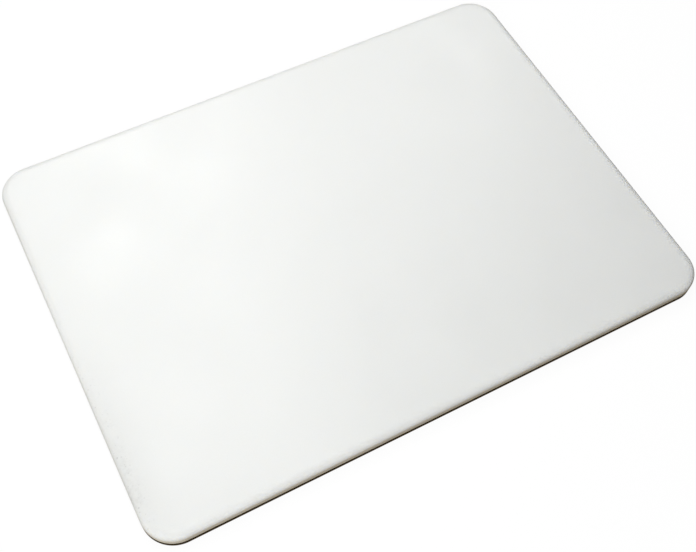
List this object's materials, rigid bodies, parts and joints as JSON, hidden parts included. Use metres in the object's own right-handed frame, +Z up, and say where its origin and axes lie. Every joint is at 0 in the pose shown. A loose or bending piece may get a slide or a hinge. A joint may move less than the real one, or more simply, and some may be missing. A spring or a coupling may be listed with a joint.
{
  "type": "over-sink cutting board",
  "caption": "Plain white polyethylene cutting board with rounded corners and softly rounded edges, on low screwed rubber feet that keep it from sliding over a sink.",
  "frame": {"origin": "middle of the plane that the four feet stand on", "axes": "+X along the long side to the right, +Y away from the front edge, +Z up out of the cutting face"},
  "size_m": [0.42, 0.308, 0.011],
  "materials": {
    "polyethylene": "satin, very fine pebble",
    "foot_rubber": "matte moulded",
    "washer_steel": "stamped and tumbled stainless",
    "screw_steel": "plain stainless"
  },
  "bodies": {
    "root": {"board": "polyethylene", "foot_front_left": "foot_rubber", "foot_front_right": "foot_rubber", "foot_back_left": "foot_rubber", "foot_back_right": "foot_rubber", "washer_front_left": "washer_steel", "washer_front_right": "washer_steel", "washer_back_left": "washer_steel", "washer_back_right": "washer_steel", "screw_front_left": "screw_steel", "screw_front_right": "screw_steel", "screw_back_left": "screw_steel", "screw_back_right": "screw_steel"}
  },
  "joints": []
}
